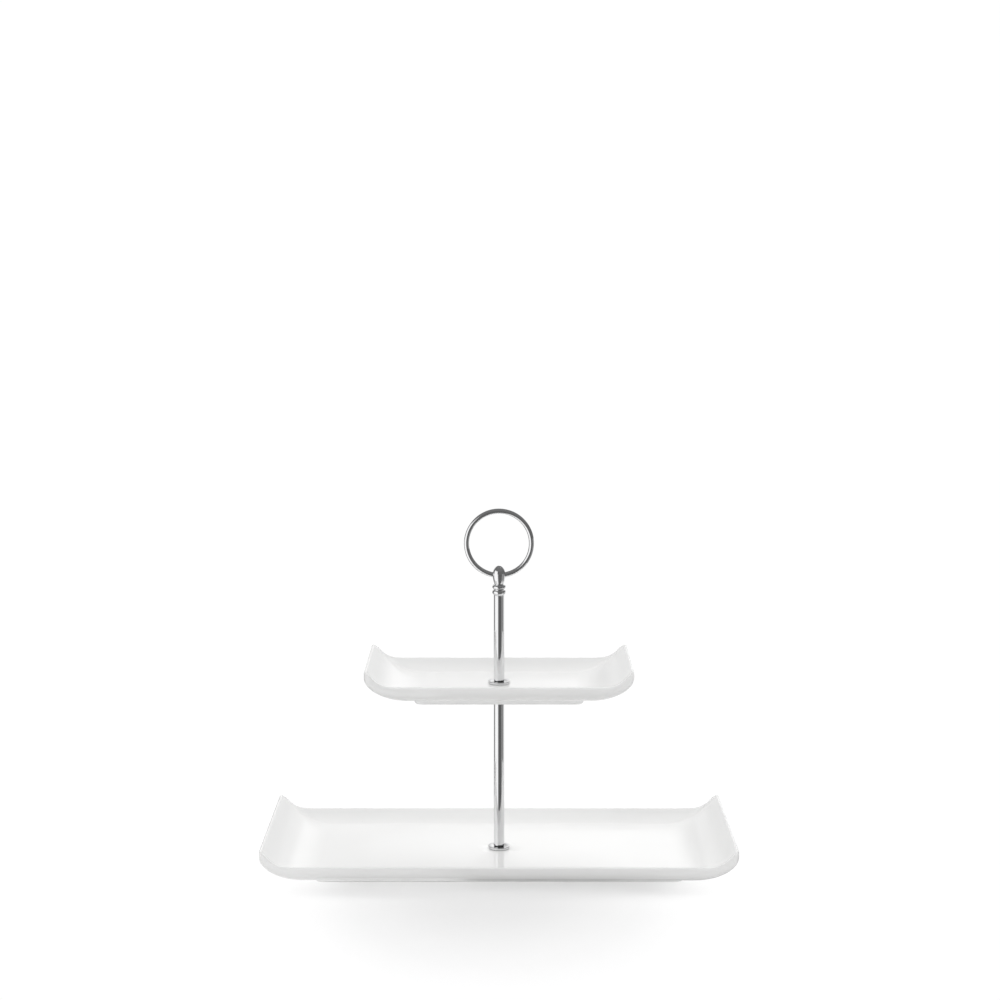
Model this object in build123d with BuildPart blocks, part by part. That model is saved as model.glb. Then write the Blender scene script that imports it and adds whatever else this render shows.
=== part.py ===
"""Two-tier cake stand: two long porcelain plates on a chrome column with a ring handle.

Millimetres, +Z up. The origin is on the table, on the column's axis, at the middle of the lower plate's foot.
X runs along the plates, Y across them, and the ring handle faces -Y.
"""

from build123d import *
import os
from typing import NamedTuple


class PlateSize(NamedTuple):
    """The sizes that the two plates don't share. Heights are above the plate's own foot."""

    length: float
    width: float
    foot_height: float
    floor: float
    rim_height: float
    tip_height: float
    foot_length: float
    foot_width: float


LOWER = PlateSize(
    length=350.0,
    width=150.0,
    foot_height=4.2,
    floor=3.8,
    rim_height=17.0,
    tip_height=30.0,
    foot_length=271.0,
    foot_width=114.0,
)
UPPER = PlateSize(
    length=198.0,
    width=102.0,
    foot_height=3.8,
    floor=3.8,
    rim_height=16.2,
    tip_height=28.6,
    foot_length=124.0,
    foot_width=74.0,
)

# The swept-up ends, the same on both plates
SWEEP_RUN = 36.0
TIP_FACE = 5.4
FLOOR_RUN = 42.0
FLOOR_EASE = 22.0
RIM_RUN = 23.0
RIM_EASE = 13.0
RIM_TIP_EASE = 3.0
RIM_TIP_STEEPNESS = 0.2
TIP_WALL = 3.4
TIP_DROP = 1.0
TIP_EASE = 5.0
TIP_STEEPNESS = 1.3
BELLY_RADIUS = 5.5

# The low lips along the sides, the same on both plates
LIP_TOP = 3.6
LIP_SLOPE = 0.62
LIP_FOOT_RADIUS = 5.0
RIM_ROUNDING = 1.4

# The foot ring, the same on both plates
FOOT_RING = 4.5
FOOT_CORNER = 8.0
FOOT_TAPER = 25.0
FOOT_ROUNDING = 0.8
PLATE_HOLE = 8.0

# The column
ROD_DIAMETER = 8.0
LOWER_ROD_LENGTH = 121.0
UPPER_ROD_LENGTH = 66.0
ROD_CHAMFER = 0.4
THREAD = 5.0
THREAD_GAP = 0.05
THREAD_SPARE = 1.5
ENGAGED = 5.8
WASHER_DIAMETER = 16.8
WASHER_THICKNESS = 1.5
WASHER_HOLE_GAP = 0.35
WASHER_ROUNDING = 0.3
BASE_WASHER_THICKNESS = 1.0
GASKET_DIAMETER = 15.6
GASKET_THICKNESS = 0.5
HEAD_DIAMETER = 9.5
HEAD_HEIGHT = 2.0
HEAD_ROUNDING = 0.9
DRIVE_SLOT = 1.2
DRIVE_LENGTH = 5.6
DRIVE_DEPTH = 1.1

# The finial, and the ring through its bulb
COLLAR_RADIUS = 4.4
COLLAR_HEIGHT = 0.6
BEAD_RADIUS = 5.2
BEAD_HEIGHT = 3.2
GROOVE_RADIUS = 3.8
GROOVE_HEIGHT = 0.7
NECK_RADIUS = 3.3
BULB_RADIUS = 4.9
BULB_LOWER = 7.8
BULB_UPPER = 6.6
BULB_SHOULDER = 2.6
RING_WIRE = 4.0
RING_OUTSIDE = 52.6
BRAZE_GAP = 0.05
RING_ABOVE_BULB_FOOT = 7.05

# Heights of the stack, from the table up
lower_underside = LOWER.foot_height
lower_floor = lower_underside + LOWER.floor
lower_washer_foot = lower_floor + GASKET_THICKNESS
lower_rod_foot = lower_washer_foot + WASHER_THICKNESS
lower_rod_top = lower_rod_foot + LOWER_ROD_LENGTH
support_washer_top = lower_rod_top + WASHER_THICKNESS
upper_underside = support_washer_top + GASKET_THICKNESS
upper_foot = upper_underside - UPPER.foot_height
upper_floor = upper_underside + UPPER.floor
upper_washer_foot = upper_floor + GASKET_THICKNESS
upper_rod_foot = upper_washer_foot + WASHER_THICKNESS
upper_rod_top = upper_rod_foot + UPPER_ROD_LENGTH

base_washer_top = lower_underside - GASKET_THICKNESS
head_top = base_washer_top - BASE_WASHER_THICKNESS
tapped_depth = ENGAGED + THREAD_SPARE
tapped_radius = THREAD / 2 + THREAD_GAP
washer_hole_radius = THREAD / 2 + WASHER_HOLE_GAP

bead_1_foot = upper_rod_top + COLLAR_HEIGHT
groove_foot = bead_1_foot + BEAD_HEIGHT
bead_2_foot = groove_foot + GROOVE_HEIGHT
bulb_foot = bead_2_foot + BEAD_HEIGHT
bulb_waist = bulb_foot + BULB_LOWER
bulb_top = bulb_waist + BULB_UPPER
ring_radius = (RING_OUTSIDE - RING_WIRE) / 2
ring_centre = bulb_foot + RING_ABOVE_BULB_FOOT + ring_radius


def make_plate(size, foot):
    """One plate that stands on the height foot: swept-up ends, low side lips, a foot ring and a centre hole."""
    underside = foot + size.foot_height
    floor = underside + size.floor
    rim = foot + size.rim_height
    tip = foot + size.tip_height
    end = size.length / 2
    side = size.width / 2
    above = tip + TIP_WALL
    sweep_rise = tip - TIP_FACE - underside
    floor_side = side - LIP_TOP - (rim - floor) * LIP_SLOPE
    above_side = floor_side + (above - floor) * LIP_SLOPE

    def is_belly(edge):
        """The long lower edges and the upright corner edges that carry on from them."""
        upright = edge.bounding_box().size.X < 0.01
        return abs(edge.center().Y) > side - 0.01 and (upright or edge.center().Z < rim - 0.01)

    def is_lip_foot(edge):
        """The edges where the hollow's floor meets the lips."""
        return edge.bounding_box().min.Z < floor + 0.01 and abs(edge.center().Y) > floor_side / 2

    with BuildPart() as hollow:
        # The floor's side elevation, wider than the plate
        with BuildSketch(Plane.XZ):
            with BuildLine():
                Line((0, floor), (end - FLOOR_RUN, floor))
                Bezier(
                    (end - FLOOR_RUN, floor),
                    (end - FLOOR_RUN + FLOOR_EASE, floor),
                    (end - TIP_WALL - TIP_EASE, tip - TIP_DROP - TIP_EASE * TIP_STEEPNESS),
                    (end - TIP_WALL, tip - TIP_DROP),
                )
                Line((end - TIP_WALL, tip - TIP_DROP), (end - TIP_WALL, above))
                Line((end - TIP_WALL, above), (0, above))
                mirror(about=Plane.YZ)
            make_face()
        extrude(amount=above_side, both=True)
        # Narrowed by the sloping inner faces of the lips
        with BuildSketch(Plane.YZ):
            with BuildLine():
                Polyline((0, floor), (floor_side, floor), (above_side, above), (0, above))
                mirror(about=Plane.YZ)
            make_face()
        extrude(amount=end, both=True, mode=Mode.INTERSECT)
        fillet(hollow.edges().filter_by(is_lip_foot), LIP_FOOT_RADIUS)

    with BuildPart() as plate:
        # The outside: the side elevation, from the underside to the rim
        with BuildSketch(Plane.XZ):
            with BuildLine():
                Line((0, underside), (end - SWEEP_RUN, underside))
                EllipticalCenterArc(
                    (end - SWEEP_RUN, tip - TIP_FACE), SWEEP_RUN, sweep_rise, 270, arc_size=90
                )
                Line((end, tip - TIP_FACE), (end, tip))
                Bezier(
                    (end, tip),
                    (end - RIM_TIP_EASE, tip - RIM_TIP_EASE * RIM_TIP_STEEPNESS),
                    (end - RIM_RUN + RIM_EASE, rim),
                    (end - RIM_RUN, rim),
                )
                Line((end - RIM_RUN, rim), (0, rim))
                mirror(about=Plane.YZ)
            make_face()
        extrude(amount=side, both=True)
        fillet(plate.edges().filter_by(is_belly), BELLY_RADIUS)
        add(hollow, mode=Mode.SUBTRACT)
        fillet(plate.edges().filter_by(lambda edge: edge.center().Z > rim - 0.01), RIM_ROUNDING)
        # The foot ring
        with BuildSketch(Plane.XY.offset(foot)):
            RectangleRounded(size.foot_length, size.foot_width, FOOT_CORNER)
        extrude(amount=size.foot_height, taper=-FOOT_TAPER)
        with BuildSketch(Plane.XY.offset(foot)):
            RectangleRounded(
                size.foot_length - 2 * FOOT_RING, size.foot_width - 2 * FOOT_RING, FOOT_CORNER - FOOT_RING
            )
        extrude(amount=size.foot_height, mode=Mode.SUBTRACT)
        fillet(plate.edges().group_by(Axis.Z)[0], FOOT_ROUNDING)
        # The drilled centre
        with Locations((0, 0, floor)):
            Hole(PLATE_HOLE / 2, depth=size.floor)
    return plate


def make_washer(foot, thickness):
    """A flat metal disc whose underside is at the height foot."""
    with BuildPart() as washer:
        with BuildSketch(Plane.XY.offset(foot)):
            Circle(WASHER_DIAMETER / 2)
            Circle(washer_hole_radius, mode=Mode.SUBTRACT)
        extrude(amount=thickness)
        fillet(washer.edges().filter_by(GeomType.CIRCLE).sort_by(SortBy.RADIUS)[-2:], WASHER_ROUNDING)
    return washer


def make_gasket(foot):
    """A soft disc between metal and glaze, its underside at the height foot."""
    with BuildPart() as gasket:
        with BuildSketch(Plane.XY.offset(foot)):
            Circle(GASKET_DIAMETER / 2)
            Circle(washer_hole_radius, mode=Mode.SUBTRACT)
        extrude(amount=GASKET_THICKNESS)
    return gasket


def make_rod(foot, length):
    """A round rod, tapped at both ends. The threads are plain bores."""
    with BuildPart() as rod:
        with BuildSketch(Plane.XY.offset(foot)):
            Circle(ROD_DIAMETER / 2)
        extrude(amount=length)
        chamfer(rod.edges().filter_by(GeomType.CIRCLE), ROD_CHAMFER)
        with BuildSketch(Plane.XY.offset(foot)):
            Circle(tapped_radius)
        extrude(amount=tapped_depth, mode=Mode.SUBTRACT)
        with BuildSketch(Plane.XY.offset(foot + length)):
            Circle(tapped_radius)
        extrude(amount=-tapped_depth, mode=Mode.SUBTRACT)
    return rod


def make_stud(foot, top):
    """A threaded stud between two heights, as a plain cylinder."""
    with BuildPart() as stud:
        with BuildSketch(Plane.XY.offset(foot)):
            Circle(THREAD / 2)
        extrude(amount=top - foot)
        chamfer(stud.edges().filter_by(GeomType.CIRCLE), ROD_CHAMFER)
    return stud


# The two plates
lower_plate = make_plate(LOWER, 0.0)
upper_plate = make_plate(UPPER, upper_foot)

# The discs and gaskets, from the table up
base_washer = make_washer(head_top, BASE_WASHER_THICKNESS)
base_gasket = make_gasket(base_washer_top)
lower_gasket = make_gasket(lower_floor)
lower_washer = make_washer(lower_washer_foot, WASHER_THICKNESS)
support_washer = make_washer(lower_rod_top, WASHER_THICKNESS)
support_gasket = make_gasket(support_washer_top)
upper_gasket = make_gasket(upper_floor)
upper_washer = make_washer(upper_washer_foot, WASHER_THICKNESS)

# The rods and the studs in them
lower_rod = make_rod(lower_rod_foot, LOWER_ROD_LENGTH)
upper_rod = make_rod(upper_rod_foot, UPPER_ROD_LENGTH)
middle_stud = make_stud(lower_rod_top - ENGAGED, upper_rod_foot + ENGAGED)
finial_stud = make_stud(upper_rod_top - ENGAGED, upper_rod_top + ENGAGED)

# The screw that holds the lower plate to the lower rod, with a cross recess in its head
with BuildPart() as base_screw:
    with BuildSketch(Plane.XY.offset(head_top)):
        Circle(HEAD_DIAMETER / 2)
    extrude(amount=-HEAD_HEIGHT)
    fillet(base_screw.edges().group_by(Axis.Z)[0], HEAD_ROUNDING)
    with BuildSketch(Plane.XY.offset(head_top - HEAD_HEIGHT)):
        Rectangle(DRIVE_LENGTH, DRIVE_SLOT)
        Rectangle(DRIVE_SLOT, DRIVE_LENGTH)
    extrude(amount=DRIVE_DEPTH, mode=Mode.SUBTRACT)
    with BuildSketch(Plane.XY.offset(head_top)):
        Circle(THREAD / 2)
    extrude(amount=lower_rod_foot + ENGAGED - head_top)

# The ring: round wire in a full circle, upright, facing -Y
with BuildPart() as ring_handle:
    with BuildSketch(Plane.XY.offset(ring_centre)):
        with Locations((ring_radius, 0)):
            Circle(RING_WIRE / 2)
    revolve(axis=Axis((0, 0, ring_centre), (0, 1, 0)))

# The finial: a collar, two beads and an acorn bulb, tapped below and bored along the ring's own curve
with BuildPart() as finial:
    with BuildSketch(Plane.XZ):
        with BuildLine():
            Polyline((0, upper_rod_top), (COLLAR_RADIUS, upper_rod_top), (COLLAR_RADIUS, bead_1_foot))
            ThreePointArc(
                (COLLAR_RADIUS, bead_1_foot),
                (BEAD_RADIUS, bead_1_foot + BEAD_HEIGHT / 2),
                (GROOVE_RADIUS, groove_foot),
            )
            Line((GROOVE_RADIUS, groove_foot), (GROOVE_RADIUS, bead_2_foot))
            ThreePointArc(
                (GROOVE_RADIUS, bead_2_foot),
                (BEAD_RADIUS, bead_2_foot + BEAD_HEIGHT / 2),
                (NECK_RADIUS, bulb_foot),
            )
            Bezier(
                (NECK_RADIUS, bulb_foot),
                (BULB_RADIUS, bulb_foot + BULB_LOWER / 2),
                (BULB_RADIUS, bulb_waist),
            )
            Bezier(
                (BULB_RADIUS, bulb_waist),
                (BULB_RADIUS, bulb_waist + BULB_SHOULDER),
                (BULB_RADIUS / 2, bulb_top),
                (0, bulb_top),
            )
            Line((0, bulb_top), (0, upper_rod_top))
        make_face()
    revolve(axis=Axis.Z)
    with BuildSketch(Plane.XY.offset(upper_rod_top)):
        Circle(tapped_radius)
    extrude(amount=tapped_depth, mode=Mode.SUBTRACT)
    with BuildSketch(Plane.XY.offset(ring_centre)):
        with Locations((ring_radius, 0)):
            Circle(RING_WIRE / 2 + BRAZE_GAP)
    revolve(axis=Axis((0, 0, ring_centre), (0, 1, 0)), mode=Mode.SUBTRACT)

pieces = {
    "lower_plate": lower_plate,
    "upper_plate": upper_plate,
    "base_screw": base_screw,
    "base_washer": base_washer,
    "base_gasket": base_gasket,
    "lower_gasket": lower_gasket,
    "lower_washer": lower_washer,
    "lower_rod": lower_rod,
    "middle_stud": middle_stud,
    "support_washer": support_washer,
    "support_gasket": support_gasket,
    "upper_gasket": upper_gasket,
    "upper_washer": upper_washer,
    "upper_rod": upper_rod,
    "finial_stud": finial_stud,
    "finial": finial,
    "ring_handle": ring_handle,
}

os.makedirs("parts", exist_ok=True)
for name, piece in pieces.items():
    piece.part.label = name
    export_step(piece.part, f"parts/{name}.step")
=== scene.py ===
"""The looks of the two-tier cake stand: porcelain, chrome, a white studio and the camera."""

import bmesh
import bpy
import math
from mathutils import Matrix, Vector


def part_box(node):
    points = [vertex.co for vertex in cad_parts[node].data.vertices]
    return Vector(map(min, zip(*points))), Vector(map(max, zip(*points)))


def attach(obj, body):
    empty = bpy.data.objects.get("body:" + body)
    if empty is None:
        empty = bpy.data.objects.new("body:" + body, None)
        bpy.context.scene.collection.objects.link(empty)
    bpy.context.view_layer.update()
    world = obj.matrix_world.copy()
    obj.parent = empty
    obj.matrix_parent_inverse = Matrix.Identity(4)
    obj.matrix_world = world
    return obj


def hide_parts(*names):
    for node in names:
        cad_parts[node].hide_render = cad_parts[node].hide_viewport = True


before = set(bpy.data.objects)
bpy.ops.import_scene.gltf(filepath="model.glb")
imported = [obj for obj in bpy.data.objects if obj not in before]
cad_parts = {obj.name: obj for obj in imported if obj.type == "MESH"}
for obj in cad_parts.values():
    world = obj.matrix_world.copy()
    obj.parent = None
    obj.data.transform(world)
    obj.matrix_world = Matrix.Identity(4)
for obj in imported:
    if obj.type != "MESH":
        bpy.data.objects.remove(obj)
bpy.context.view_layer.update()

# Camera, in metres and radians
CAMERA_PLACE = (0.0007, -1.4988, 0.4907)
CAMERA_TILT = 0.1419
CAMERA_LENS = 73.07
SENSOR = 36.0


def new_material(name):
    """A node material, with its node tree and its shader."""
    material = bpy.data.materials.new(name)
    material.use_nodes = True
    return material, material.node_tree, material.node_tree.nodes["Principled BSDF"]


def math_node(tree, operation, a, b=0.0, c=0.0):
    """A Math node's output. Each of a, b and c is a number or a socket."""
    made = tree.nodes.new("ShaderNodeMath")
    made.operation = operation
    for socket, value in zip(made.inputs, (a, b, c)):
        if isinstance(value, (int, float)):
            socket.default_value = value
        else:
            tree.links.new(value, socket)
    return made.outputs[0]


def smooth(tree, value, low, high, out_low=0.0, out_high=1.0):
    """The value mapped smoothly from low..high to out_low..out_high."""
    made = tree.nodes.new("ShaderNodeMapRange")
    made.interpolation_type = "SMOOTHSTEP"
    made.inputs["From Min"].default_value = low
    made.inputs["From Max"].default_value = high
    made.inputs["To Min"].default_value = out_low
    made.inputs["To Max"].default_value = out_high
    tree.links.new(value, made.inputs["Value"])
    return made.outputs["Result"]


def blend(tree, value, target, mask):
    """The value moved to target where the mask is 1."""
    made = tree.nodes.new("ShaderNodeMix")
    made.data_type = "FLOAT"
    tree.links.new(mask, made.inputs["Factor"])
    for socket, part in ((made.inputs["A"], value), (made.inputs["B"], target)):
        if isinstance(part, (int, float)):
            socket.default_value = part
        else:
            tree.links.new(part, socket)
    return made.outputs["Result"]


def noise(tree, coordinates, scale, detail=2.0):
    """A noise pattern's value, 0 to 1. The scale is in patches per metre."""
    made = tree.nodes.new("ShaderNodeTexNoise")
    made.inputs["Scale"].default_value = scale
    made.inputs["Detail"].default_value = detail
    tree.links.new(coordinates, made.inputs["Vector"])
    return made.outputs["Fac"]


def stretched(tree, scale):
    """Object coordinates, scaled along each axis."""
    place = tree.nodes.new("ShaderNodeTexCoord")
    mapping = tree.nodes.new("ShaderNodeMapping")
    mapping.inputs["Scale"].default_value = scale
    tree.links.new(place.outputs["Object"], mapping.inputs["Vector"])
    return mapping.outputs["Vector"]


def polar(tree):
    """Coordinates of height and distance from the Z axis, which don't change round the axis."""
    place = tree.nodes.new("ShaderNodeTexCoord")
    parts = tree.nodes.new("ShaderNodeSeparateXYZ")
    tree.links.new(place.outputs["Object"], parts.inputs[0])
    across = math_node(tree, "MULTIPLY", parts.outputs["X"], parts.outputs["X"])
    along = math_node(tree, "MULTIPLY_ADD", parts.outputs["Y"], parts.outputs["Y"], across)
    joined = tree.nodes.new("ShaderNodeCombineXYZ")
    tree.links.new(math_node(tree, "SQRT", along), joined.inputs["X"])
    tree.links.new(parts.outputs["Z"], joined.inputs["Y"])
    return joined.outputs[0]


def two_tones(tree, shader, low, high, amount):
    """The base colour between two colours, by a value from 0 to 1."""
    made = tree.nodes.new("ShaderNodeMix")
    made.data_type = "RGBA"
    made.inputs["A"].default_value = (*low, 1)
    made.inputs["B"].default_value = (*high, 1)
    tree.links.new(amount, made.inputs["Factor"])
    tree.links.new(made.outputs["Result"], shader.inputs["Base Color"])
    return made


def bump(tree, shader, layers):
    """Bumps in a chain. Each layer is a height socket and its depth in metres."""
    below = None
    for height, depth in layers:
        made = tree.nodes.new("ShaderNodeBump")
        made.inputs["Strength"].default_value = 1.0
        made.inputs["Distance"].default_value = depth
        tree.links.new(height, made.inputs["Height"])
        if below is not None:
            tree.links.new(below, made.inputs["Normal"])
        below = made.outputs["Normal"]
    tree.links.new(below, shader.inputs["Normal"])


def porcelain(name, foot):
    """White porcelain under a clear glossy glaze.

    The foot ring's face, at the height foot in metres, is wiped bare for the kiln shelf.
    """
    material, tree, shader = new_material(name)
    whole = stretched(tree, (1, 1, 1))
    parts = tree.nodes.new("ShaderNodeSeparateXYZ")
    tree.links.new(whole, parts.inputs[0])
    edge_wobble = math_node(tree, "MULTIPLY", noise(tree, whole, 220), 0.0002)
    above_foot = math_node(tree, "SUBTRACT", parts.outputs["Z"], edge_wobble)
    glazed = smooth(tree, above_foot, foot, foot + 0.0002)

    # Colour: the glaze pools a little, and a few fine specks show in it
    pooling = noise(tree, whole, 14, 3)
    body = two_tones(tree, shader, (0.735, 0.735, 0.73), (0.76, 0.76, 0.757), pooling)
    bare = tree.nodes.new("ShaderNodeMix")
    bare.data_type = "RGBA"
    bare.inputs["A"].default_value = (0.66, 0.645, 0.62, 1)
    tree.links.new(body.outputs["Result"], bare.inputs["B"])
    tree.links.new(glazed, bare.inputs["Factor"])
    specks = tree.nodes.new("ShaderNodeTexVoronoi")
    specks.inputs["Scale"].default_value = 42
    specks.inputs["Randomness"].default_value = 1.0
    tree.links.new(whole, specks.inputs["Vector"])
    speck = smooth(tree, specks.outputs["Distance"], 0.006, 0.014, 1.0, 0.0)
    speckled = tree.nodes.new("ShaderNodeMix")
    speckled.data_type = "RGBA"
    speckled.inputs["B"].default_value = (0.5, 0.48, 0.45, 1)
    tree.links.new(bare.outputs["Result"], speckled.inputs["A"])
    tree.links.new(math_node(tree, "MULTIPLY", speck, 0.6), speckled.inputs["Factor"])
    tree.links.new(speckled.outputs["Result"], shader.inputs["Base Color"])

    # Gloss: nearly a mirror on the glaze, chalky on the bare ring
    wiped = smooth(tree, noise(tree, whole, 26, 4), 0.35, 0.7, 0.045, 0.085)
    shader.inputs["IOR"].default_value = 1.52
    gloss = blend(tree, 0.62, wiped, glazed)
    tree.links.new(gloss, shader.inputs["Roughness"])

    # Relief: long slow waves of the glaze, a very fine orange peel, pinholes
    waves = noise(tree, whole, 24, 1)
    peel = noise(tree, whole, 420, 2)
    grain = noise(tree, whole, 2600, 3)
    bare_grain = math_node(tree, "MULTIPLY", grain, math_node(tree, "SUBTRACT", 1.0, glazed))
    pits = smooth(tree, specks.outputs["Distance"], 0.008, 0.02)
    layers = ((waves, 0.00004), (peel, 0.0000008), (bare_grain, 0.00006), (pits, 0.00002))
    bump(tree, shader, layers)
    return material


def chrome(name, turned):
    """Bright nickel-chrome plating over polished steel, with faint wipe marks.

    The hairlines run round a turned piece and along any other.
    """
    material, tree, shader = new_material(name)
    shader.inputs["Metallic"].default_value = 1.0
    whole = stretched(tree, (1, 1, 1))
    wipes = noise(tree, whole, 55, 4)
    two_tones(tree, shader, (0.735, 0.737, 0.745), (0.785, 0.785, 0.79), wipes)
    lines = polar(tree) if turned else stretched(tree, (1, 1, 0.02))
    hairlines = noise(tree, lines, 5200, 2)
    smudges = smooth(tree, noise(tree, whole, 38, 3), 0.42, 0.68, 0.045, 0.11)
    scratched = math_node(tree, "MULTIPLY_ADD", hairlines, 0.03, smudges)
    tree.links.new(scratched, shader.inputs["Roughness"])
    bump(tree, shader, ((hairlines, 0.0000008), (noise(tree, whole, 160, 1), 0.000004)))
    return material


def plated_steel():
    """Zinc-plated steel: satin, faintly mottled from grey-blue to straw."""
    material, tree, shader = new_material("plated_steel")
    shader.inputs["Metallic"].default_value = 1.0
    whole = stretched(tree, (1, 1, 1))
    mottle = smooth(tree, noise(tree, whole, 420, 4), 0.35, 0.65)
    two_tones(tree, shader, (0.58, 0.6, 0.63), (0.66, 0.645, 0.6), mottle)
    rings = noise(tree, polar(tree), 9000, 2)
    worn = smooth(tree, noise(tree, whole, 900, 3), 0.3, 0.7, 0.26, 0.44)
    tree.links.new(math_node(tree, "MULTIPLY_ADD", rings, 0.06, worn), shader.inputs["Roughness"])
    bump(tree, shader, ((rings, 0.000004), (mottle, 0.000003)))
    return material


def silicone():
    """Grey moulded silicone: matt, with a fine moulded texture and pale dust."""
    material, tree, shader = new_material("soft_gasket")
    whole = stretched(tree, (1, 1, 1))
    dust = smooth(tree, noise(tree, whole, 700, 4), 0.45, 0.75)
    two_tones(tree, shader, (0.34, 0.34, 0.35), (0.43, 0.43, 0.435), dust)
    shader.inputs["IOR"].default_value = 1.42
    matt = smooth(tree, noise(tree, whole, 1500, 2), 0.3, 0.7, 0.5, 0.68)
    tree.links.new(matt, shader.inputs["Roughness"])
    bump(tree, shader, ((noise(tree, whole, 3200, 2), 0.00001),))
    return material


MM = 0.001


def surface(name, loops, closed, material, body, node):
    """A smooth mesh that stands for a CAD node.

    It goes through loops of points in millimetres, each loop joined to the next.
    """
    count = len(loops[0])
    points = [tuple(v * MM for v in point) for loop in loops for point in loop]
    faces = []
    for k in range(len(loops) if closed else len(loops) - 1):
        here = k * count
        there = (k + 1) % len(loops) * count
        for i in range(count):
            j = (i + 1) % count
            faces.append((here + i, here + j, there + j, there + i))
    mesh = bpy.data.meshes.new(name)
    mesh.from_pydata(points, [], faces)
    built = bmesh.new()
    built.from_mesh(mesh)
    bmesh.ops.remove_doubles(built, verts=built.verts, dist=MM * 0.001)
    bmesh.ops.recalc_face_normals(built, faces=built.faces)
    built.to_mesh(mesh)
    built.free()
    mesh.polygons.foreach_set("use_smooth", [True] * len(mesh.polygons))
    mesh.materials.append(material)
    piece = bpy.data.objects.new(name, mesh)
    bpy.context.collection.objects.link(piece)
    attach(piece, body)
    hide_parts(node)
    return piece


# The plates' mesh: sizes in millimetres
PLAN_CORNER = 5.0
LONG_STEPS = 64
SHORT_STEPS = 30
CORNER_STEPS = 10
RIM_RADIUS = 1.3
RIM_TURN = math.radians(138)
RIM_STEPS = 9
SWEEP_INSIDE = 42.0
SWEEP_POWER = 2.25
TIP_FLARE = 2.0
TIP_FLARE_RUN = 12.0
SWEEP_OUTSIDE = 36.0
LIP_RUN = 14.0
LIP_POWER = 1.9
LIP_BELLY = 12.0
FLOOR_CORNER = 16.0
BELLY_CORNER = 20.0
TOP_STEPS = 26
BELLY_STEPS = 16
FOOT_CORNER = 5.5
FOOT_FLARE = 1.96
HOLE = 4.0
HOLE_ROUNDING = 0.6
HOLE_BREAK = 0.18
RECESS_EDGE = -5.1


def ease(low, high, value):
    """0 below low, 1 above high, and smooth between them."""
    part = min(max((value - low) / (high - low), 0.0), 1.0)
    return part * part * (3 - 2 * part)


def rounded_rectangle(half_x, half_y, corner):
    """Points round a rounded rectangle, anticlockwise, closer together near its corners."""
    run_x = half_x - corner
    run_y = half_y - corner
    sides = (
        (LONG_STEPS, lambda s: (-run_x * s, half_y)),
        (SHORT_STEPS, lambda s: (-half_x, -run_y * s)),
        (LONG_STEPS, lambda s: (run_x * s, -half_y)),
        (SHORT_STEPS, lambda s: (half_x, run_y * s)),
    )
    corners = ((-run_x, run_y, 90), (-run_x, -run_y, 180), (run_x, -run_y, 270), (run_x, run_y, 0))
    points = []
    for (steps, place), (x, y, start) in zip(sides, corners):
        for i in range(steps):
            points.append(place(math.sin(math.pi * (i / (steps - 1) - 0.5))))
        for i in range(1, CORNER_STEPS):
            turn = math.radians(start + 90 * i / CORNER_STEPS)
            points.append((x + corner * math.cos(turn), y + corner * math.sin(turn)))
    return points


def between(one, other, part):
    """Points part of the way from one loop to another."""
    return [(a + (c - a) * part, b + (d - b) * part) for (a, b), (c, d) in zip(one, other)]


def at_height(loop, z):
    """A flat loop at one height."""
    return [(x, y, z) for x, y in loop]


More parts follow.
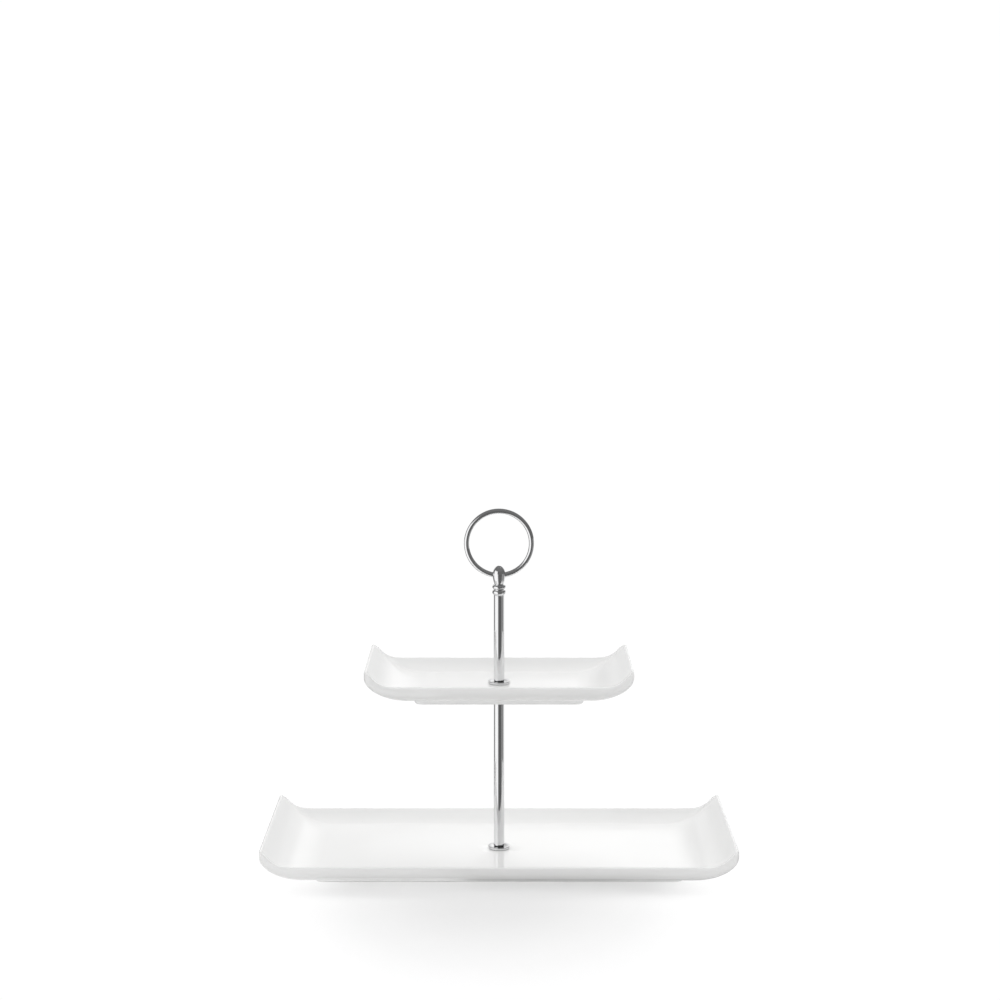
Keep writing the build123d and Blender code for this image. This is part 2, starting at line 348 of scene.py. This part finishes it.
def plate(name, node, body, material, floor, underside, rim, tip, belly_rise, foot_size):
    """One plate. Heights are above its own foot.

    foot_size is the foot ring's half length and half width.
    """
    low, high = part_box(node)
    foot = low[2] / MM
    half_x = high[0] / MM
    half_y = high[1] / MM
    rim_inset = RIM_RADIUS * (1 - math.cos(RIM_TURN))
    rim_drop = RIM_RADIUS * (1 - math.sin(RIM_TURN))
    lip_height = rim - rim_drop - floor
    lip_belly_rise = rim - RIM_RADIUS - 0.5 - underside
    flare_at_rim = TIP_FLARE * (1 - ease(0.5, TIP_FLARE_RUN, rim_inset))
    rim_part = (1 - rim_inset / SWEEP_INSIDE) ** SWEEP_POWER
    sweep_height = (tip - rim_drop - floor - flare_at_rim) / rim_part

    def inside(x, y):
        from_end = half_x - abs(x)
        from_side = half_y - abs(y)
        sweep = sweep_height * max(0.0, 1 - from_end / SWEEP_INSIDE) ** SWEEP_POWER
        sweep += TIP_FLARE * (1 - ease(0.5, TIP_FLARE_RUN, from_end))
        part = min(1.0, max(0.0, 1 - (from_side - rim_inset) / LIP_RUN))
        lip = lip_height * part**LIP_POWER
        return foot + floor + (sweep**4 + lip**4) ** 0.25

    def quarter(distance, run):
        """A quarter ellipse's height, 1 at the edge and 0 at the end of its run."""
        part = max(0.0, 1 - distance / run)
        return 1 - math.sqrt(1 - min(part, 1.0) ** 2)

    def outside(x, y):
        sweep = belly_rise * quarter(half_x - abs(x), SWEEP_OUTSIDE)
        lip = lip_belly_rise * quarter(half_y - abs(y), LIP_BELLY)
        return foot + underside + math.hypot(sweep, lip)

    def inset(distance):
        return rounded_rectangle(half_x - distance, half_y - distance, PLAN_CORNER - distance)

    edge = inset(0.0)
    inner_rim = inset(rim_inset)
    rim_height = [inside(x, y) for x, y in inner_rim]
    floor_half_y = half_y - rim_inset - LIP_RUN
    floor_edge = rounded_rectangle(half_x - SWEEP_INSIDE, floor_half_y, FLOOR_CORNER)
    belly_foot = rounded_rectangle(half_x - SWEEP_OUTSIDE + 1, half_y - LIP_BELLY, BELLY_CORNER)
    foot_x, foot_y = foot_size

    def foot_loop(outward):
        return rounded_rectangle(foot_x + outward, foot_y + outward, FOOT_CORNER + outward)

    def hole(radius):
        circle = []
        for x, y in edge:
            turn = math.atan2(y / half_y, x / half_x)
            circle.append((radius * math.cos(turn), radius * math.sin(turn)))
        return circle

    loops = []
    # The hole's lower edge, then the recessed underside out to the foot ring
    loops.append(at_height(hole(HOLE), foot + underside + HOLE_ROUNDING))
    loops.append(at_height(hole(HOLE + HOLE_BREAK), foot + underside + HOLE_BREAK))
    loops.append(at_height(hole(HOLE + HOLE_ROUNDING), foot + underside))
    recess_edge = foot_loop(RECESS_EDGE)
    for part in (0.1, 0.4, 0.75, 0.97):
        ring = between(hole(HOLE + HOLE_ROUNDING), recess_edge, part)
        loops.append(at_height(ring, foot + underside))
    # The foot ring's inner wall, its face and its flared outer wall
    ring_profile = (
        (RECESS_EDGE, underside), (-4.75, underside - 0.1), (-4.55, underside - 0.4),
        (-4.5, underside - 0.8), (-4.5, 0.8), (-4.42, 0.42), (-4.2, 0.15), (-3.9, 0.02),
        (-3.6, 0.0), (-0.9, 0.0), (-0.55, 0.03),
        (-0.2, 0.18), (0.1, 0.5), (0.35, 0.9), (FOOT_FLARE - 0.45, underside - 0.75),
        (FOOT_FLARE - 0.15, underside - 0.3), (FOOT_FLARE + 0.15, underside - 0.1),
    )
    for outward, z in ring_profile:
        loops.append(at_height(foot_loop(outward), foot + z))
    # The belly, up to the outer edge
    for k in range(BELLY_STEPS + 1):
        part = 1 - math.sin(math.pi / 2 * k / BELLY_STEPS)
        loops.append([(x, y, outside(x, y)) for x, y in between(edge, belly_foot, part)])
    # The rounded rim
    for k in range(RIM_STEPS):
        turn = RIM_TURN * k / RIM_STEPS
        ring = inset(RIM_RADIUS * (1 - math.cos(turn)))
        rise = RIM_RADIUS * (math.sin(turn) - math.sin(RIM_TURN))
        loops.append([(x, y, z + rise) for (x, y), z in zip(ring, rim_height)])
    # The lips' inner faces, the swept-up ends and the floor
    for k in range(TOP_STEPS + 1):
        part = (k / TOP_STEPS) ** 1.4
        loops.append([(x, y, inside(x, y)) for x, y in between(inner_rim, floor_edge, part)])
    for part in (0.3, 0.6, 0.9, 1.0):
        ring = between(floor_edge, hole(HOLE + HOLE_ROUNDING), part)
        loops.append(at_height(ring, foot + floor))
    loops.append(at_height(hole(HOLE + HOLE_BREAK), foot + floor - HOLE_BREAK))
    loops.append(at_height(hole(HOLE), foot + floor - HOLE_ROUNDING))
    return surface(name, loops, True, material, body, node)


LATHE_STEPS = 96
BEAD_FULLNESS = 0.85
DISC_HOLE = 2.85
DISC_HOLE_BREAK = 0.15


def lathe(name, profile, closed, material, body, node):
    """A turned piece: a profile of radius and height in millimetres, turned round the Z axis."""
    turns = [2 * math.pi * i / LATHE_STEPS for i in range(LATHE_STEPS)]
    loops = [[(r * math.cos(t), r * math.sin(t), z) for t in turns] for r, z in profile]
    return surface(name, loops, closed, material, body, node)


def bezier(points, steps):
    """Points along a Bezier curve, its first one left out."""
    curve = []
    for i in range(1, steps + 1):
        level = list(points)
        while len(level) > 1:
            level = between(level[:-1], level[1:], i / steps)
        curve.append(level[0])
    return curve


def bead(radius, out, foot, height, top_radius, steps):
    """Points over a turned bead, its first one left out.

    They go from radius at its foot, out, and in to top_radius.
    """
    points = []
    for i in range(1, steps + 1):
        turn = math.pi * i / steps
        base = radius + (top_radius - radius) * i / steps
        bulge = (out - base) * math.sin(turn) ** BEAD_FULLNESS
        points.append((base + bulge, foot + height * (1 - math.cos(turn)) / 2))
    return points


def disc(name, node, body, material, rounding):
    """A flat disc with softly rounded edges, in the place of its CAD node."""
    low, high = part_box(node)
    z0, z1, outer = low[2] / MM, high[2] / MM, high[0] / MM
    arc = [math.radians(a) for a in (0, 22.5, 45, 67.5, 90)]
    profile = [(DISC_HOLE, z0), (outer - rounding, z0)]
    for a in arc:
        profile.append((outer - rounding * (1 - math.sin(a)), z0 + rounding * (1 - math.cos(a))))
    for a in arc:
        profile.append((outer - rounding * (1 - math.cos(a)), z1 - rounding * (1 - math.sin(a))))
    profile += [(DISC_HOLE + DISC_HOLE_BREAK, z1), (DISC_HOLE, z1 - DISC_HOLE_BREAK)]
    return lathe(name, profile, True, material, body, node)


turned_chrome = chrome("chrome_turned", True)
drawn_chrome = chrome("chrome_drawn", False)
steel = plated_steel()
gasket = silicone()

lower_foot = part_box("lower_plate")[0][2]
upper_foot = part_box("upper_plate")[0][2]
plate(
    "lower_plate_glazed", "lower_plate", "lower_tier", porcelain("porcelain_lower", lower_foot),
    floor=8.0, underside=4.2, rim=17.0, tip=28.7, belly_rise=20.4, foot_size=(135.5, 57.0),
)
plate(
    "upper_plate_glazed", "upper_plate", "upper_tier", porcelain("porcelain_upper", upper_foot),
    floor=7.6, underside=3.8, rim=16.2, tip=27.35, belly_rise=19.4, foot_size=(62.0, 37.0),
)
for disc_node, disc_body in (
    ("lower_washer", "column"), ("support_washer", "column"), ("upper_washer", "upper_mast")
):
    disc(disc_node + "_turned", disc_node, disc_body, turned_chrome, 0.35)
disc("base_washer_turned", "base_washer", "column", steel, 0.3)

# The finial: collar, two beads and the acorn bulb, over the tapped bore
finial_low, finial_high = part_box("finial")
z = finial_low[2] / MM
bulb_top = finial_high[2] / MM
finial_profile = [(0, z + 7.3), (2.55, z + 7.3), (2.55, z)]
finial_profile += [(4.2, z), (4.4, z + 0.15), (4.4, z + 0.6)]
finial_profile += bead(4.4, 5.2, z + 0.6, 3.2, 3.8, 12)
finial_profile += [(3.8, z + 4.5)]
finial_profile += bead(3.8, 5.2, z + 4.5, 3.2, 3.3, 12)
finial_profile += bezier([(3.3, z + 7.7), (4.9, z + 11.6), (4.9, z + 15.5)], 16)
finial_profile += bezier([(4.9, z + 15.5), (4.9, z + 18.9), (2.9, bulb_top), (0, bulb_top)], 16)
lathe("finial_turned", finial_profile, False, turned_chrome, "handle", "finial")

# The ring: round wire, upright
RING_STEPS = 192
WIRE_STEPS = 32
ring_low, ring_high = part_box("ring_handle")
wire = ring_high[1] / MM
ring_radius = ring_high[0] / MM - wire
ring_centre = (ring_low[2] + ring_high[2]) / 2 / MM
ring_loops = []
for i in range(RING_STEPS):
    a = 2 * math.pi * i / RING_STEPS
    loop = []
    for k in range(WIRE_STEPS):
        b = 2 * math.pi * k / WIRE_STEPS
        r = ring_radius + wire * math.cos(b)
        loop.append((r * math.cos(a), wire * math.sin(b), ring_centre + r * math.sin(a)))
    ring_loops.append(loop)
surface("ring_wire", ring_loops, True, turned_chrome, "handle", "ring_handle")


def dress(names, material):
    """Gives CAD nodes that stay a material."""
    for name in names:
        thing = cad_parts[name]
        thing.data.materials.clear()
        thing.data.materials.append(material)


dress(["lower_rod", "upper_rod"], drawn_chrome)
dress(["base_screw", "middle_stud", "finial_stud"], steel)
dress(["base_gasket", "lower_gasket", "support_gasket", "upper_gasket"], gasket)

# The studio. Azimuths are in degrees from the camera's side, -Y, and positive to the right, +X
WHITE = 1.0
FILL = 0.28
SKY_DARK = 0.16
CARD_DARK = 0.13
CARD_GREY = 0.31
CARD_WHITE = 1.22

# The oval of floor that keeps its shadow, in metres: its half sizes, and its middle's place in front
SHADOW_HALF_X = 0.155
SHADOW_HALF_Y = 0.24
SHADOW_FORWARD = 0.06


def azimuth_socket(tree, x, y):
    """The azimuth in degrees, -180 to 180, of the direction with these x and y sockets."""
    backward = math_node(tree, "MULTIPLY", y, -1.0)
    return math_node(tree, "DEGREES", math_node(tree, "ARCTAN2", x, backward))


def band(tree, value, low, high, soft):
    """1 between low and high, falling to 0 over soft outside them."""
    rise = smooth(tree, value, low - soft, low)
    fall = smooth(tree, value, high, high + soft, 1.0, 0.0)
    return math_node(tree, "MULTIPLY", rise, fall)


world = bpy.data.worlds.new("studio")
bpy.context.scene.world = world
world.use_nodes = True
sky = world.node_tree
background = sky.nodes["Background"]
direction = sky.nodes.new("ShaderNodeTexCoord")
parts = sky.nodes.new("ShaderNodeSeparateXYZ")
sky.links.new(direction.outputs["Generated"], parts.inputs[0])
azimuth = azimuth_socket(sky, parts.outputs["X"], parts.outputs["Y"])
height = parts.outputs["Z"]
backdrop = math_node(sky, "SUBTRACT", 1.0, band(sky, azimuth, -125, 125, 15))
side_card = band(sky, azimuth, -85, -32, 8)
rear = smooth(sky, parts.outputs["X"], -0.13, 0.13, 0.6, 1.2)
aside = math_node(sky, "ABSOLUTE", parts.outputs["X"])
rear = blend(sky, rear, 0.9, smooth(sky, aside, 0.14, 0.2))
shown = blend(sky, SKY_DARK, rear, backdrop)
shown = blend(sky, shown, CARD_WHITE, side_card)
shown = blend(sky, shown, 0.2, smooth(sky, height, 0.38, 0.55))
path = sky.nodes.new("ShaderNodeLightPath")
strength = blend(sky, FILL, shown, path.outputs["Is Glossy Ray"])
strength = blend(sky, strength, WHITE * 1.02, path.outputs["Is Camera Ray"])
sky.links.new(strength, background.inputs["Strength"])
background.inputs["Color"].default_value = (1, 1, 1, 1)

bpy.ops.mesh.primitive_plane_add(size=16)
floor = bpy.context.object
floor.name = "floor"
floor_material, floor_tree, floor_shader = new_material("floor")
floor_shader.inputs["Base Color"].default_value = (0.82, 0.82, 0.82, 1)
floor_shader.inputs["Roughness"].default_value = 0.9
floor_shader.inputs["Specular IOR Level"].default_value = 0.0
floor.data.materials.append(floor_material)

# Outside an oval round the stand the floor glows plain white: painted light that hides the stand's
# shadow there, while inside the oval the lit floor keeps its shadow
floor_place = floor_tree.nodes.new("ShaderNodeTexCoord")
floor_parts = floor_tree.nodes.new("ShaderNodeSeparateXYZ")
floor_tree.links.new(floor_place.outputs["Object"], floor_parts.inputs[0])
sideways = math_node(floor_tree, "DIVIDE", floor_parts.outputs["X"], SHADOW_HALF_X)
from_middle = math_node(floor_tree, "ADD", floor_parts.outputs["Y"], SHADOW_FORWARD)
forward = math_node(floor_tree, "DIVIDE", from_middle, SHADOW_HALF_Y)
squares = math_node(floor_tree, "MULTIPLY", sideways, sideways)
squares = math_node(floor_tree, "MULTIPLY_ADD", forward, forward, squares)
outward = math_node(floor_tree, "SQRT", squares)
painted_white_mask = smooth(floor_tree, outward, 0.66, 1.08)
# Painted light: a white glow, from no lamp, that covers the floor's shadow outside the oval
painted_white_glow = floor_tree.nodes.new("ShaderNodeEmission")
painted_white_glow.inputs["Strength"].default_value = 1.02
surface_mix = floor_tree.nodes.new("ShaderNodeMixShader")
floor_tree.links.new(painted_white_mask, surface_mix.inputs[0])
floor_tree.links.new(floor_shader.outputs[0], surface_mix.inputs[1])
floor_tree.links.new(painted_white_glow.outputs[0], surface_mix.inputs[2])
floor_tree.links.new(surface_mix.outputs[0], floor_tree.nodes["Material Output"].inputs["Surface"])

# The card that only reflections see: it lies on the floor
bpy.ops.mesh.primitive_plane_add(size=16, location=(0, 0, 0.002))
card = bpy.context.object
card.name = "reflection_card"
card_material, card_tree, _ = new_material("reflection_card")
place = card_tree.nodes.new("ShaderNodeTexCoord")
card_parts = card_tree.nodes.new("ShaderNodeSeparateXYZ")
card_tree.links.new(place.outputs["Object"], card_parts.inputs[0])
card_azimuth = azimuth_socket(card_tree, card_parts.outputs["X"], card_parts.outputs["Y"])
tone = blend(card_tree, WHITE, CARD_WHITE, band(card_tree, card_azimuth, -88, -32, 6))
tone = blend(card_tree, tone, 0.3, band(card_tree, card_azimuth, -150, -102, 8))
tone = blend(card_tree, tone, CARD_DARK, band(card_tree, card_azimuth, -12, 50, 12))
tone = blend(card_tree, tone, CARD_GREY, band(card_tree, card_azimuth, 62, 105, 12))
emission = card_tree.nodes.new("ShaderNodeEmission")
card_tree.links.new(tone, emission.inputs["Strength"])
card_tree.links.new(emission.outputs[0], card_tree.nodes["Material Output"].inputs["Surface"])
card.data.materials.append(card_material)
card.visible_camera = False
card.visible_diffuse = False
card.visible_shadow = False
card.visible_transmission = False


def soft_sun(name, strength, elevation, azimuth, softness, shadow):
    """A distant soft light that reflections don't see. Its angles are in degrees.

    The azimuth is where it comes from: 0 is the camera's side, 90 the right.
    """
    data = bpy.data.lights.new(name, "SUN")
    data.energy = strength
    data.angle = math.radians(softness)
    data.use_shadow = shadow
    lamp = bpy.data.objects.new(name, data)
    bpy.context.collection.objects.link(lamp)
    lamp.rotation_euler = (math.radians(90 - elevation), 0, math.radians(azimuth))
    lamp.visible_glossy = False


# The key is behind the stand, so that its shadow falls towards the camera. The fills cast none
soft_sun("key", 1.5, 49, 176, 42, True)
soft_sun("front_fill", 1.52, 45, 0, 30, False)
soft_sun("left_fill", 0.6, 40, -90, 30, False)
soft_sun("right_fill", 0.62, 40, 90, 30, False)

camera_data = bpy.data.cameras.new("camera")
camera_data.sensor_width = SENSOR
camera_data.lens = CAMERA_LENS
camera = bpy.data.objects.new("camera", camera_data)
bpy.context.collection.objects.link(camera)
camera.location = CAMERA_PLACE
camera.rotation_euler = (math.pi / 2 - CAMERA_TILT, 0, 0)
bpy.context.scene.camera = camera
bpy.context.scene.view_settings.view_transform = "Standard"
